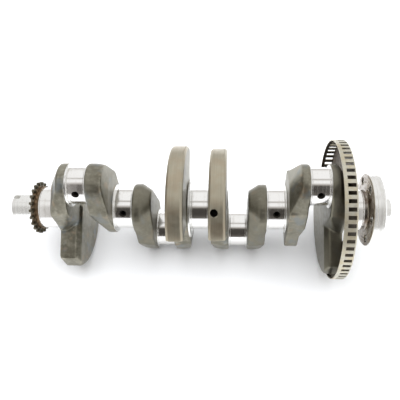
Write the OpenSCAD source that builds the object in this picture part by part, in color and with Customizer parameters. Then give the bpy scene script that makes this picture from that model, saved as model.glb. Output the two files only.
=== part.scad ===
// Four-cylinder crankshaft with its chain sprocket and trigger wheel.
// Origin: centre of the third main journal, on the axis of rotation.
// +X runs along the shaft to the flywheel flange, +Z points to crankpins 1 and 4.

/* [Shaft layout] */
// Distance between two cylinders
cylinder_pitch = 88; // [84:1:96]
// Distance from the shaft axis to a crankpin axis (half the stroke)
throw = 46; // [43:0.5:48]
// Diameter of the five main journals
main_d = 48; // [46:0.5:50]
// Length of a main journal between its two webs
main_len = 21; // [19:0.5:23]
// Diameter of the four crankpins
pin_d = 42; // [40:0.5:44]
// Length of a crankpin between its two webs
pin_len = 21; // [19:0.5:23]
// Diameter of the oil drillings
oil_d = 5.5; // [4:0.5:6]

/* [Webs] */
// Radius of webs 1, 2, 7 and 8 around their crankpin
outer_cheek_r = 24.6; // [24:0.2:26]
// Radius of webs 3, 4, 5 and 6 around their crankpin
inner_cheek_r = 26; // [24:0.5:27]
// Radius of the web around a main journal
main_cheek_r = 29; // [28:0.5:31]
// Half of the width of a web between its two ends
web_half_w = 31.5; // [30:0.5:33]
// Radius of the polished ring beside a main journal
main_collar_r = 28; // [27:0.5:28.5]
// Radius of the polished ring beside a crankpin
pin_collar_r = 23.8; // [23:0.2:24]
// Radius of the two thrust faces beside main journal 3
thrust_r = 34; // [32:0.5:36]
// Height of the polished rings above the forged web
collar_h = 1.2; // [0.8:0.1:2]

/* [Counterweights] */
// Outer radius of the counterweight of web 4
web_4_weight_r = 73.5; // [70:0.5:76]
// Outer radius of the counterweight of web 5
web_5_weight_r = 70.5; // [68:0.5:76]
// Thickness of the two middle counterweights
mid_weight_t = 18.8; // [16:0.2:19]
// Outer radius of the counterweight of web 1
web_1_weight_r = 70; // [66:0.5:74]
// Outer radius of the counterweight of web 8, inside the trigger wheel
web_8_weight_r = 76; // [70:0.5:77]
// Half of the angle that the counterweight of web 1 or 8 covers
end_half_angle = 62; // [50:1:70]
// Half of the angle that the counterweight of web 4 or 5 covers
mid_half_angle = 55.5; // [50:0.5:65]
// Diameter of the balance drilling in web 5
balance_d = 8; // [5:0.5:10]

/* [Nose and sprocket] */
// Diameter of the nose that carries the pulley
nose_d = 33; // [28:0.5:35]
// Length of the nose in front of the sprocket
nose_len = 28; // [22:1:34]
// Teeth on the chain sprocket
sprocket_teeth = 22; // [20:1:22]
// Pitch of the chain
chain_pitch = 8; // [8:0.05:8.1]
// Width of the chain sprocket
sprocket_w = 8; // [6:0.5:9]

/* [Trigger wheel] */
// Outer diameter of the trigger wheel
wheel_d = 162; // [158:1:164]
// Width of the rim of the trigger wheel
wheel_w = 14.2; // [12:0.2:15]
// Thickness of the pressed sheet
sheet_t = 1.5; // [1.2:0.1:2]
// Positions around the rim, of which two stay closed
wheel_pitches = 60; // [58:1:60]

/* [Flywheel flange] */
// Diameter of the flange, which the oil seal runs on
flange_d = 85; // [80:1:90]
// Thickness of the flange
flange_t = 14; // [12:0.5:16]
// Diameter of the circle that the flywheel bolts lie on
bolt_circle_d = 68; // [64:1:70]
// Number of flywheel bolts
bolt_count = 6; // [4:1:8]
// Diameter of the tapped flywheel bolt holes
bolt_hole_d = 9; // [8:0.5:10]
// Diameter of the spigot that centres the flywheel
spigot_d = 28; // [26:1:34]
// Length of the spigot behind the flange
spigot_len = 15; // [10:1:16]

/* [Hidden] */

round_fn = 96;
blend_fn = 32;
cut = 0.5;

// Places along the shaft
main_r = main_d / 2;
pin_r = pin_d / 2;
half_main = main_len / 2;
web_t = cylinder_pitch / 2 - main_len / 2 - pin_len / 2;
main_x = [for (i = [0:4]) (i - 2) * cylinder_pitch];
pin_x = [for (i = [0:3]) (i - 1.5) * cylinder_pitch];
pin_side = [1, -1, -1, 1];
front_x = main_x[0] - half_main;
rear_x = main_x[4] + half_main;

// Undercuts that end each ground journal
groove_w = 1.3;
groove_depth = 0.35;

// Webs: the two ends are full over slab_t, and flat faces join them
slab_t = 8;
heel_t = 17;
heel_inset = 1.5;
corner_r = 6;
main_corner_z = 29;
pin_corner_z = 33;
main_side_top_r = 11;
main_side_top_z = 37;
pin_side_tail_r = 16;
pin_side_tail_z = -9;
tail_z = -32;
tail_corner_r = 4;
tail_t = 15.5;
tail_step_z = -9;
tail_full_z = 9;

// Counterweights
rim_chamfer_x = 3;
rim_chamfer_r = 1.6;
end_chamfer_x = 3;
end_chamfer_r = 13;
corner_cut = 12.5;
web_1_extra_t = 1.5;
web_8_extra_t = -1.8;
flank_bevel_x = 5;
flank_bevel_w = 7;
weight_start_z = 10;
web_4_offset = 3.2;
web_5_offset = 2;
balance_angle = 37;
balance_depth = 16;
balance_x = 8.3;

// Oil drillings leave the crankpins and the main journals at these angles, through wider mouths
pin_oil_angle = 65;
main_oil_angle = 49;
mouth_d = 7.4;
mouth_depth = 2;
drill_past = 3;

// Sprocket, its seat and its key
nose_r = nose_d / 2;
seat_r = 18;
root_gap_r = 2.55;
tooth_tip_h = 2.5;
tooth_w = 4.5;
hub_r = 24.8;
tooth_flare = 0.6;
pitch_r = chain_pitch / 2 / sin(180 / sprocket_teeth);
sprocket_tip_r = pitch_r + tooth_tip_h;
key_w = 4;
key_h = 3.6;
key_len = 5.5;
nose_chamfer = 2;
nose_bolt_d = 12;
nose_bolt_depth = 34;
notch_w = 5.5;
notch_len = 9.5;
notch_depth = 3;
notch_angle = -14;

// Trigger wheel, seated on the rear face of web 8
wheel_r = wheel_d / 2;
wheel_seat = 1.3;
wheel_seat_x = main_x[4] - half_main - wheel_seat;
wheel_bore_r = 38;
window_w = 8.6;
window_margin = 1.8;
window_share = 0.5;
closed_pitches = 2;
closed_angle = 150;
wheel_screws = 3;
screw_circle_r = 58;
screw_d = 6;
screw_len = 14;
screw_head_d = 11;
screw_head_h = 2.4;
screw_rim_h = 1.2;
screw_head_slope = 1.5;
screw_socket_d = 4;
screw_socket_depth = 1.4;

// Flywheel end
neck_len = 5;
neck_r = 23;
flange_chamfer = 1.2;
first_bolt_angle = -7;
pilot_d = 15;
pilot_depth = 20;
dowel_d = 6;
dowel_len = 12;
dowel_out = 5;
dowel_circle_r = 34;
dowel_angle = 203;

forged = "#7d766b";
ground = "#c9c9c6";
zinc = "#b9b296";
sprocket_steel = "#6a5a45";

// Turns a solid drawn along Z so that it lies along X
module along_x(x) {
    translate([x, 0, 0]) rotate([0, 90, 0]) children();
}

// Extrudes a flat shape, drawn as Y and Z, from x over length t
module slab(x, t) {
    translate([x, 0, 0]) rotate([90, 0, 90]) linear_extrude(height = t) children();
}

// Turns a direction around the shaft, from +Z towards the front of the engine bay (-Y)
module turned(angle) {
    rotate([angle, 0, 0]) children();
}

// Ground cylinder with an undercut at each end, along X from x
module journal(x, r, len) {
    along_x(x) rotate_extrude($fn = round_fn) polygon([
        [0, 0],
        [r - groove_depth, 0],
        [r - groove_depth, groove_w],
        [r, groove_w + groove_depth],
        [r, len - groove_w - groove_depth],
        [r - groove_depth, len - groove_w],
        [r - groove_depth, len],
        [0, len]
    ]);
}

// Radial drilling at x, from the shaft axis out
module radial_drilling(x, angle, d, reach) {
    translate([x, 0, 0]) turned(angle) cylinder(d = d, h = reach, $fn = round_fn);
}

// Slanting drilling from a crankpin surface down to the middle of a main journal
module oilway(main, pin) {
    side = pin_side[pin];
    dx = pin_x[pin] - main_x[main];
    dy = -side * pin_r * sin(pin_oil_angle);
    dz = side * (throw + pin_r * cos(pin_oil_angle));
    flat = sqrt(dx * dx + dy * dy);
    len = sqrt(flat * flat + dz * dz);
    translate([main_x[main], 0, 0])
        rotate([0, acos(dz / len), atan2(dy, dx)])
            cylinder(d = oil_d, h = len + drill_past, $fn = round_fn);
}

// Wide mouth of an oil drilling in a ground surface of radius r
module oil_mouth(x, r, angle) {
    translate([x, 0, 0]) turned(angle)
        translate([0, 0, r - mouth_depth]) cylinder(d = mouth_d, h = mouth_depth + cut, $fn = round_fn);
}

// Every oil drilling of the shaft
module oilways() {
    for (i = [0:3]) {
        translate([0, 0, pin_side[i] * throw])
            oil_mouth(pin_x[i], pin_r, pin_side[i] > 0 ? pin_oil_angle : 180 + pin_oil_angle);
    }
    oil_mouth(main_x[1], main_r, main_oil_angle);
    oil_mouth(main_x[3], main_r, main_oil_angle);
    oil_mouth(main_x[2], main_r, main_oil_angle + 180);
    radial_drilling(main_x[1], main_oil_angle, oil_d, main_r + drill_past);
    radial_drilling(main_x[3], main_oil_angle, oil_d, main_r + drill_past);
    radial_drilling(main_x[2], main_oil_angle + 180, oil_d, main_r + drill_past);
    oilway(1, 0);
    oilway(3, 3);
    oilway(2, 1);
    oilway(2, 2);
}

module main_journal(i) {
    color(ground) difference() {
        journal(main_x[i] - half_main, main_r, main_len);
        if (i > 0 && i < 4) oilways();
    }
}

module crankpin(i) {
    color(ground) difference() {
        translate([0, 0, pin_side[i] * throw]) journal(pin_x[i] - pin_len / 2, pin_r, pin_len);
        oilways();
    }
}

// Outline of a web's end beside the main journal, towards the pin along +Y of the sketch
module main_side_outline() {
    circle(r = main_cheek_r, $fn = blend_fn);
    for (s = [-1, 1]) {
        translate([s * (web_half_w - corner_r), main_corner_z]) circle(r = corner_r, $fn = blend_fn);
    }
    translate([0, main_side_top_z]) circle(r = main_side_top_r, $fn = blend_fn);
}

// Outline of a web's end beside the crankpin
module pin_side_outline(cheek_r) {
    translate([0, throw]) circle(r = cheek_r, $fn = blend_fn);
    for (s = [-1, 1]) {
        translate([s * (web_half_w - corner_r), pin_corner_z]) circle(r = corner_r, $fn = blend_fn);
    }
    translate([0, pin_side_tail_z]) circle(r = pin_side_tail_r, $fn = blend_fn);
}

// Forged body of a web, from its main journal face at x = 0 to its crankpin face
// Its end around the crankpin is end_t thick
module web_core(cheek_r, end_t) {
    hull() {
        slab(collar_h, slab_t) main_side_outline();
        slab(web_t - collar_h - slab_t, slab_t) pin_side_outline(cheek_r);
        slab(web_t - collar_h - end_t, end_t)
            translate([0, throw]) circle(r = cheek_r - heel_inset, $fn = blend_fn);
    }
}

// Polished rings beside the main journal and the crankpin
module collars(main_ring_r) {
    along_x(0) cylinder(r = main_ring_r, h = collar_h + cut, $fn = round_fn);
    translate([0, 0, throw])
        along_x(web_t - collar_h - cut)
            cylinder(r = pin_collar_r, h = collar_h + cut, $fn = round_fn);
}

// Sector of a counterweight, opposite to the crankpin, with cut_w taken off each side
module weight_outline(r, half_angle, cut_w) {
    reach = 2 * r;
    intersection() {
        circle(r = r, $fn = round_fn);
        square([2 * (r - cut_w), 2 * reach], center = true);
        polygon([
            [0, weight_start_z],
            [-reach * sin(half_angle), weight_start_z - reach * cos(half_angle)],
            [0, -reach],
            [reach * sin(half_angle), weight_start_z - reach * cos(half_angle)]
        ]);
    }
}

// Turned envelope of a counterweight rim, with a chamfer on each side
module weight_envelope(r, x0, x1, front_x, front_r, back_x, back_r) {
    along_x(0) rotate_extrude($fn = round_fn) polygon([
        [0, x0],
        [r - front_r, x0],
        [r, x0 + front_x],
        [r, x1 - back_x],
        [r - back_r, x1],
        [0, x1]
    ]);
}

// Counterweight from x0 to x1, with its front chamfer on the main journal side
module counterweight(r, half_angle, cut_w, x0, x1, front_x, front_r) {
    intersection() {
        slab(x0, x1 - x0) weight_outline(r, half_angle, cut_w);
        weight_envelope(r, x0, x1, front_x, front_r, rim_chamfer_x, rim_chamfer_r);
    }
}

// Puts a web's own frame in place: x from the main journal face, z towards the crankpin
module place_web(main, pin) {
    way = sign(pin_x[pin] - main_x[main]);
    side = pin_side[pin];
    translate([main_x[main] + way * half_main, 0, 0])
        mirror([way < 0 ? 1 : 0, 0, 0])
            mirror([0, 0, side < 0 ? 1 : 0])
                children();
}

module light_web(main, pin, cheek_r) {
    color(forged) difference() {
        place_web(main, pin) {
            web_core(cheek_r, heel_t);
            collars(main_collar_r);
        }
        oilways();
    }
}

// Web 7 also carries a short square tail under its main journal
module tailed_web(main, pin, cheek_r) {
    color(forged) difference() {
        place_web(main, pin) {
            web_core(cheek_r, slab_t);
            collars(main_collar_r);
            hull() {
                slab(collar_h, tail_t) tail_outline(tail_z);
                slab(collar_h, tail_t) tail_outline(tail_step_z);
                slab(collar_h, slab_t) main_side_outline();
            }
            hull() {
                slab(collar_h, tail_t) tail_outline(tail_step_z);
                slab(collar_h, web_t - 2 * collar_h) tail_outline(tail_full_z);
                slab(collar_h, web_t - 2 * collar_h) tail_outline(pin_corner_z);
            }
        }
        oilways();
    }
}

module tail_outline(z) {
    for (s = [-1, 1]) {
        translate([s * (web_half_w - tail_corner_r), z]) circle(r = tail_corner_r, $fn = blend_fn);
    }
}

module middle_web(main, pin, cheek_r, weight_r, x0) {
    color(forged) difference() {
        place_web(main, pin) {
            web_core(cheek_r, heel_t);
            collars(thrust_r);
            counterweight(weight_r, mid_half_angle, 0, x0, x0 + mid_weight_t, rim_chamfer_x, rim_chamfer_r);
        }
        oilways();
        if (pin == 2) {
            translate([main_x[main] + half_main + balance_x, 0, 0]) turned(balance_angle)
                translate([0, 0, weight_r - balance_depth])
                    cylinder(d = balance_d, h = balance_depth + cut, $fn = round_fn);
        }
    }
}

// Counterweight of webs 1 and 8, bevelled along its two flanks on the crankpin side
module end_counterweight(r, pin_side_x) {
    grow = 1.5;
    difference() {
        counterweight(r, end_half_angle, corner_cut, collar_h, pin_side_x, end_chamfer_x, end_chamfer_r);
        for (s = [-1, 1]) {
            translate([pin_side_x, 0, weight_start_z])
                rotate([s * (180 + end_half_angle), 0, 0])
                    linear_extrude(height = 2 * r) polygon([
                        [-grow * flank_bevel_x, s * (1 - grow) * flank_bevel_w],
                        [(grow - 1) * flank_bevel_x, s * grow * flank_bevel_w],
                        [grow * flank_bevel_x, s * (1 - grow) * flank_bevel_w]
                    ]);
        }
    }
}

// Places of the trigger wheel screws
module screw_places() {
    for (i = [0:wheel_screws - 1]) {
        turned(i * 360 / wheel_screws) translate([0, 0, screw_circle_r]) children();
    }
}

module end_web(main, pin, weight_r, extra_t, seat) {
    color(forged) difference() {
        place_web(main, pin) {
            difference() {
                union() {
                    web_core(outer_cheek_r, slab_t);
                    end_counterweight(weight_r, web_t + extra_t);
                }
                if (seat > 0) seat_flat(seat);
            }
            collars(main_collar_r);
        }
        oilways();
        if (seat > 0) {
            screw_places() along_x(wheel_seat_x - screw_len + sheet_t)
                cylinder(d = screw_d, h = screw_len, $fn = round_fn);
        }
    }
}

// Flat that the trigger wheel is screwed to, around the main journal ring
module seat_flat(depth) {
    along_x(-cut) difference() {
        cylinder(r = wheel_r, h = depth + cut, $fn = round_fn);
        translate([0, 0, -cut]) cylinder(r = main_collar_r, h = depth + 3 * cut, $fn = round_fn);
    }
}

module crank_nose() {
    tip_x = front_x - sprocket_w - nose_len;
    color(ground) difference() {
        along_x(tip_x) rotate_extrude($fn = round_fn) polygon([
            [0, 0],
            [nose_r - nose_chamfer, 0],
            [nose_r, nose_chamfer],
            [nose_r, nose_len],
            [seat_r, nose_len],
            [seat_r, nose_len + sprocket_w],
            [0, nose_len + sprocket_w]
        ]);
        along_x(tip_x - cut) cylinder(d = nose_bolt_d, h = nose_bolt_depth + cut, $fn = round_fn);
        turned(notch_angle)
            translate([tip_x - cut, -notch_w / 2, nose_r - notch_depth])
                cube([notch_len + cut, notch_w, notch_depth + cut]);
        key_space();
    }
}

// Slot and key that stop the sprocket turning on its seat
module key_space() {
    translate([front_x - sprocket_w / 2 - key_len / 2, -key_w / 2, seat_r - key_h / 2])
        cube([key_len, key_w, key_h]);
}

module sprocket_key() {
    color(ground) key_space();
}

// One gap between two teeth, opening outwards
module tooth_gap() {
    translate([pitch_r, 0]) circle(r = root_gap_r, $fn = blend_fn);
    polygon([
        [pitch_r, -root_gap_r],
        [sprocket_tip_r + cut, -root_gap_r - tooth_flare],
        [sprocket_tip_r + cut, root_gap_r + tooth_flare],
        [pitch_r, root_gap_r]
    ]);
}

module chain_sprocket() {
    color(sprocket_steel) difference() {
        union() {
            slab(front_x - sprocket_w, tooth_w) difference() {
                circle(r = sprocket_tip_r, $fn = round_fn);
                for (i = [0:sprocket_teeth - 1]) {
                    rotate(i * 360 / sprocket_teeth) tooth_gap();
                }
            }
            slab(front_x - sprocket_w, sprocket_w) circle(r = hub_r, $fn = round_fn);
        }
        slab(front_x - sprocket_w - cut, sprocket_w + 2 * cut) circle(r = seat_r, $fn = round_fn);
        key_space();
    }
}

// Pressed cup: a flat ring on web 8 and a rim with windows
module trigger_wheel() {
    rim_x = wheel_seat_x + sheet_t - wheel_w;
    pitch = 360 / wheel_pitches;
    window_h = 2 * wheel_r * sin(pitch * window_share / 2);
    color(zinc) difference() {
        along_x(rim_x) rotate_extrude($fn = round_fn) polygon([
            [wheel_bore_r, wheel_w - sheet_t],
            [wheel_r - sheet_t, wheel_w - sheet_t],
            [wheel_r - sheet_t, 0],
            [wheel_r, 0],
            [wheel_r, wheel_w - sheet_t],
            [wheel_r - sheet_t, wheel_w],
            [wheel_bore_r, wheel_w]
        ]);
        for (i = [0:wheel_pitches - closed_pitches - 1]) {
            turned(closed_angle + (i + 0.5 + closed_pitches / 2) * pitch)
                translate([rim_x + wheel_w - window_margin - window_w, -window_h / 2, wheel_r - 2 * sheet_t])
                    cube([window_w, window_h, 3 * sheet_t]);
        }
        screw_places() along_x(wheel_seat_x - cut)
            cylinder(d = screw_d, h = sheet_t + 2 * cut, $fn = round_fn);
    }
}

module trigger_wheel_screws() {
    face_x = wheel_seat_x + sheet_t;
    color(zinc) screw_places() difference() {
        union() {
            along_x(face_x - screw_len + cut) cylinder(d = screw_d, h = screw_len - cut, $fn = round_fn);
            along_x(face_x) rotate_extrude($fn = round_fn) polygon([
                [0, 0],
                [screw_head_d / 2, 0],
                [screw_head_d / 2, screw_rim_h],
                [screw_head_d / 2 - screw_head_slope, screw_head_h],
                [0, screw_head_h]
            ]);
        }
        along_x(face_x + screw_head_h - screw_socket_depth)
            cylinder(d = screw_socket_d, h = screw_socket_depth + cut, $fn = 6);
    }
}

module flywheel_flange() {
    flange_r = flange_d / 2;
    flange_end = neck_len + flange_t;
    spigot_end = flange_end + spigot_len;
    spigot_r = spigot_d / 2;
    color(ground) difference() {
        along_x(rear_x) rotate_extrude($fn = round_fn) polygon([
            [0, 0],
            [neck_r, 0],
            [neck_r, neck_len],
            [flange_r - flange_chamfer, neck_len],
            [flange_r, neck_len + flange_chamfer],
            [flange_r, flange_end - flange_chamfer],
            [flange_r - flange_chamfer, flange_end],
            [spigot_r, flange_end],
            [spigot_r, spigot_end - nose_chamfer],
            [spigot_r - nose_chamfer, spigot_end],
            [0, spigot_end]
        ]);
        for (i = [0:bolt_count - 1]) {
            turned(first_bolt_angle + i * 360 / bolt_count)
                translate([0, 0, bolt_circle_d / 2])
                    along_x(rear_x + neck_len - cut)
                        cylinder(d = bolt_hole_d, h = flange_t + 2 * cut, $fn = round_fn);
        }
        along_x(rear_x + spigot_end - pilot_depth)
            cylinder(d = pilot_d, h = pilot_depth + cut, $fn = round_fn);
        dowel_hole();
    }
}

// Dowel that sets the flywheel's place on the flange
module dowel_hole() {
    turned(dowel_angle)
        translate([0, 0, dowel_circle_r])
            along_x(rear_x + neck_len + flange_t + dowel_out - dowel_len)
                cylinder(d = dowel_d, h = dowel_len, $fn = round_fn);
}

module flywheel_dowel() {
    color(ground) dowel_hole();
}

crank_nose();
main_journal(0);  // main_journal_1
main_journal(1);  // main_journal_2
main_journal(2);  // main_journal_3
main_journal(3);  // main_journal_4
main_journal(4);  // main_journal_5
crankpin(0);  // crankpin_1
crankpin(1);  // crankpin_2
crankpin(2);  // crankpin_3
crankpin(3);  // crankpin_4
end_web(0, 0, web_1_weight_r, web_1_extra_t, 0);  // web_1
light_web(1, 0, outer_cheek_r);  // web_2
light_web(1, 1, inner_cheek_r);  // web_3
middle_web(2, 1, inner_cheek_r, web_4_weight_r, web_4_offset);  // web_4
middle_web(2, 2, inner_cheek_r, web_5_weight_r, web_5_offset);  // web_5
light_web(3, 2, inner_cheek_r);  // web_6
tailed_web(3, 3, outer_cheek_r);  // web_7
end_web(4, 3, web_8_weight_r, web_8_extra_t, wheel_seat);  // web_8
flywheel_flange();
chain_sprocket();
sprocket_key();
trigger_wheel();
trigger_wheel_screws();
flywheel_dowel();
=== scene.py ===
import math
import bpy
import bmesh
import numpy as np
from mathutils import Matrix, Vector, noise


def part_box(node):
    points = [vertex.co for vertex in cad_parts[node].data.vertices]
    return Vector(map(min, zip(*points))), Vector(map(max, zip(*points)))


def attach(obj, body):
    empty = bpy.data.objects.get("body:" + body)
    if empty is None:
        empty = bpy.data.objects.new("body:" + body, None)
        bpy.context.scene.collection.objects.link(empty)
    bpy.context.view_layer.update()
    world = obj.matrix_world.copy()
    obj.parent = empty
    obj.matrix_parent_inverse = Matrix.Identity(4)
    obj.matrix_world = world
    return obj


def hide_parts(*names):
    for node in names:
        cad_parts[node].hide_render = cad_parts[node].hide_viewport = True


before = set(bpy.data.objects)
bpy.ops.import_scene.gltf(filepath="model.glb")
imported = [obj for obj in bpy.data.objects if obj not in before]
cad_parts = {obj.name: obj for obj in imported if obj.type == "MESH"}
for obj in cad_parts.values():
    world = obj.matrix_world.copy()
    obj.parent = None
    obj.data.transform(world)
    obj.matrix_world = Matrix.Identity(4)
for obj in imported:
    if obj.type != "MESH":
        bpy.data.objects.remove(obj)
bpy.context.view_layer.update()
mm = 0.001
past = 1.0  # how far a cutting tool reaches past a surface, in millimetres

# the shaft in millimetres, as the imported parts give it
shaft = {"mains": 5, "pins": 4, "webs": 8, "mainCollar": 28.0, "thrustCollar": 34.0, "pinCollar": 23.8,
         "thrustWebs": (4, 5)}


def boxMm(node):
    low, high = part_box(node)
    return [v / mm for v in low], [v / mm for v in high]


def alongShaft(node):
    low, high = boxMm(node)
    return low[0], high[0], (high[2] - low[2]) / 2, (high[2] + low[2]) / 2


class Wire:
    # one output socket that takes part in sums
    def __init__(self, nodes, socket):
        self.nodes = nodes
        self.socket = socket

    def maths(self, operation, first, second):
        return self.nodes.node("ShaderNodeMath", {"operation": operation}, {0: first, 1: second})

    def __add__(self, other):
        return self.maths("ADD", self, other)

    def __radd__(self, other):
        return self.maths("ADD", other, self)

    def __sub__(self, other):
        return self.maths("SUBTRACT", self, other)

    def __rsub__(self, other):
        return self.maths("SUBTRACT", other, self)

    def __mul__(self, other):
        return self.maths("MULTIPLY", self, other)

    def __rmul__(self, other):
        return self.maths("MULTIPLY", other, self)


class Nodes:
    def __init__(self, tree):
        self.tree = tree

    def node(self, kind, settings=None, inputs=None, output=0):
        made = self.tree.nodes.new(kind)
        for key, value in (settings or {}).items():
            if key == "stops":
                self.setStops(made.color_ramp, value)
            else:
                setattr(made, key, value)
        for key, value in (inputs or {}).items():
            self.feed(made.inputs[key], value)
        return Wire(self, made.outputs[output])

    def feed(self, socket, value):
        if isinstance(value, Wire):
            self.tree.links.new(value.socket, socket)
        else:
            socket.default_value = value

    def setStops(self, ramp, stops):
        while len(ramp.elements) < len(stops):
            ramp.elements.new(0.5)
        for element, (place, tone) in zip(ramp.elements, stops):
            element.position = place
        for element, (place, tone) in zip(ramp.elements, stops):
            element.color = (tone, tone, tone, 1)

    def point(self, stretch=(1, 1, 1)):
        # position on the part in millimetres, squeezed along each axis
        place = self.node("ShaderNodeTexCoord", output="Object")
        return self.node("ShaderNodeVectorMath", {"operation": "MULTIPLY"},
                         {0: place, 1: [v / mm for v in stretch]})

    def grain(self, point, size, detail=3.0, rough=0.5):
        return self.node("ShaderNodeTexNoise", {}, {"Vector": point, "Scale": 1 / size,
                                                    "Detail": detail, "Roughness": rough})

    def step(self, value, low, high):
        return self.node("ShaderNodeMapRange", {"interpolation_type": "SMOOTHSTEP"},
                         {"Value": value, "From Min": low, "From Max": high})

    def mix(self, share, first, second):
        colours = [v if isinstance(v, Wire) else (*v, 1) for v in (first, second)]
        return self.node("ShaderNodeMix", {"data_type": "RGBA"},
                         {0: share, 6: colours[0], 7: colours[1]}, 2)

    def axis(self, point, letter):
        return self.node("ShaderNodeSeparateXYZ", {}, {0: point}, letter)

    def radius(self):
        return self.node("ShaderNodeVectorMath", {"operation": "LENGTH"},
                         {0: self.point((0, 1, 1))}, "Value")

    def stored(self, name):
        return self.node("ShaderNodeAttribute", {"attribute_name": name}, {}, "Fac")


class Finish(Nodes):
    def __init__(self, name, metallic=1.0):
        self.material = bpy.data.materials.new(name)
        self.material.use_nodes = True
        super().__init__(self.material.node_tree)
        self.shader = self.tree.nodes["Principled BSDF"]
        self.put("Metallic", metallic)

    def put(self, socket, value):
        if isinstance(value, tuple):
            value = (*value, 1)
        self.feed(self.shader.inputs[socket], value)

    def bump(self, height, depth):
        # depth is how far white stands above black, in millimetres
        self.put("Normal", self.node("ShaderNodeBump", {}, {"Strength": 1.0, "Distance": depth * mm,
                                                            "Height": height}))


forgedLook = {"dark": (0.155, 0.145, 0.11), "mid": (0.275, 0.262, 0.21), "pale": (0.40, 0.385, 0.32),
              "turned": (0.405, 0.37, 0.285), "heat": (0.35, 0.265, 0.18), "blued": (0.20, 0.235, 0.26),
              "metallic": 0.88, "cloudSize": 24.0, "mottleSize": 5.0, "blastSize": 0.6, "blastDepth": 0.035,
              "bluedSize": 17.0, "heatSize": 13.0, "lineSize": 0.9, "lineStretch": 0.02,
              "paleShare": 0.45, "bluedShare": 0.55, "heatShare": 0.50, "rimLines": 0.3, "rimHeat": 0.35,
              "wornEdges": 0.4, "paintedHollowShade": 0.6, "rough": 0.31, "mottleRough": 0.12, "turnedSmooth": 0.02}


def forgedFinish(s):
    # blasted forging with heat tints, and turned rims; painted shade in the hollows and over some whole webs
    f = Finish("forgedSteel", s["metallic"])
    place = f.point()
    cloud = f.grain(place, s["cloudSize"], 4.0, 0.6)
    mottle = f.grain(place, s["mottleSize"], 5.0, 0.65)
    blast = f.grain(place, s["blastSize"], 2.0, 0.5)
    edge = f.stored("edge")
    turned = f.stored("turned")
    tone = f.mix(f.step(cloud * 0.6 + mottle * 0.4, 0.36, 0.62), s["dark"], s["mid"])
    tone = f.mix(f.step(mottle, 0.50, 0.75) * s["paleShare"], tone, s["pale"])
    blued = f.step(f.grain(place, s["bluedSize"], 2.0), 0.55, 0.70)
    tone = f.mix(blued * s["bluedShare"], tone, s["blued"])
    heated = f.step(f.grain(place, s["heatSize"], 3.0), 0.57, 0.70)
    tone = f.mix(heated * s["heatShare"], tone, s["heat"])
    lines = f.grain(f.point((1.0, s["lineStretch"], s["lineStretch"])), s["lineSize"], 2.0)
    rim = f.mix(f.step(lines, 0.35, 0.65) * s["rimLines"], s["turned"], s["mid"])
    rim = f.mix(f.step(cloud, 0.42, 0.62) * s["rimHeat"], rim, s["heat"])
    tone = f.mix(turned, tone, rim)
    worn = f.step(edge, 0.35, 1.0) * f.step(mottle, 0.4, 0.65)
    tone = f.mix(worn * s["wornEdges"], tone, s["pale"])
    # painted shade: hollows of the forging are darkened
    tone = f.mix(f.step(0.0 - edge, 0.15, 0.9) * s["paintedHollowShade"], tone, s["dark"])
    # painted shade: whole webs darkened by their stored shade value
    f.put("Base Color", f.mix(f.step(f.stored("shade"), 0.0, 1.0), tone, s["dark"]))
    f.put("Roughness", s["rough"] + f.step(mottle, 0.3, 0.7) * s["mottleRough"] - turned * s["turnedSmooth"])
    f.bump(blast * (1.0 - turned * 0.8) + lines * turned * 0.5, s["blastDepth"])
    return f.material


groundLook = {"steel": (0.88, 0.87, 0.85), "stain": (0.62, 0.58, 0.52), "lineSize": 0.28, "lineStretch": 0.004,
              "lineDepth": 0.004, "bandSize": 3.4, "filmSize": 11.0, "stainShare": 0.35,
              "rough": 0.10, "bandRough": 0.07, "filmRough": 0.06}


def groundFinish(s):
    # fine grinding lines around the journal, with a little oil film
    f = Finish("groundSteel")
    lines = f.grain(f.point((1.0, s["lineStretch"], s["lineStretch"])), s["lineSize"], 3.0)
    bands = f.grain(f.point((1.0, 0.0, 0.0)), s["bandSize"], 3.0)
    film = f.grain(f.point(), s["filmSize"], 4.0, 0.6)
    stained = f.step(film * 0.6 + bands * 0.4, 0.5, 0.72)
    f.put("Base Color", f.mix(stained * s["stainShare"], s["steel"], s["stain"]))
    f.put("Roughness", s["rough"] + f.step(bands, 0.4, 0.7) * s["bandRough"]
          + f.step(film, 0.45, 0.8) * s["filmRough"])
    f.bump(lines, s["lineDepth"])
    return f.material


turnedLook = {"steel": (0.86, 0.86, 0.84), "worn": (0.58, 0.55, 0.49), "line": 0.5, "lineDepth": 0.02,
              "bandsPerMm": 0.22, "filmSize": 9.0, "wornShare": 0.4,
              "rough": 0.2, "bandRough": 0.12, "filmRough": 0.08}
flangeLook = {**turnedLook, "browned": (0.20, 0.155, 0.12), "faceX": 192.0, "faceBlend": 0.4}


def turnedFinish(s, name):
    # ring marks of the lathe, on outer surfaces and on end faces alike
    f = Finish(name)
    feed = f.axis(f.point(), "X") + f.radius()
    lines = f.node("ShaderNodeTexNoise", {"noise_dimensions": "1D"},
                   {"W": feed, "Scale": 1 / s["line"], "Detail": 3.0})
    bands = f.node("ShaderNodeTexNoise", {"noise_dimensions": "1D"},
                   {"W": feed, "Scale": s["bandsPerMm"], "Detail": 2.0})
    film = f.grain(f.point(), s["filmSize"], 4.0, 0.6)
    tone = f.mix(f.step(bands * 0.5 + film * 0.5, 0.48, 0.7) * s["wornShare"], s["steel"], s["worn"])
    if "browned" in s:  # the flange's front face kept its heat colour
        front = 1.0 - f.step(f.axis(f.point(), "X"), s["faceX"], s["faceX"] + s["faceBlend"])
        tone = f.mix(front * (0.65 + f.step(film, 0.35, 0.65) * 0.35), tone, s["browned"])
    f.put("Base Color", tone)
    f.put("Roughness", s["rough"] + f.step(bands, 0.35, 0.7) * s["bandRough"]
          + f.step(film, 0.5, 0.8) * s["filmRough"])
    f.bump(lines, s["lineDepth"])
    return f.material


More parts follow.
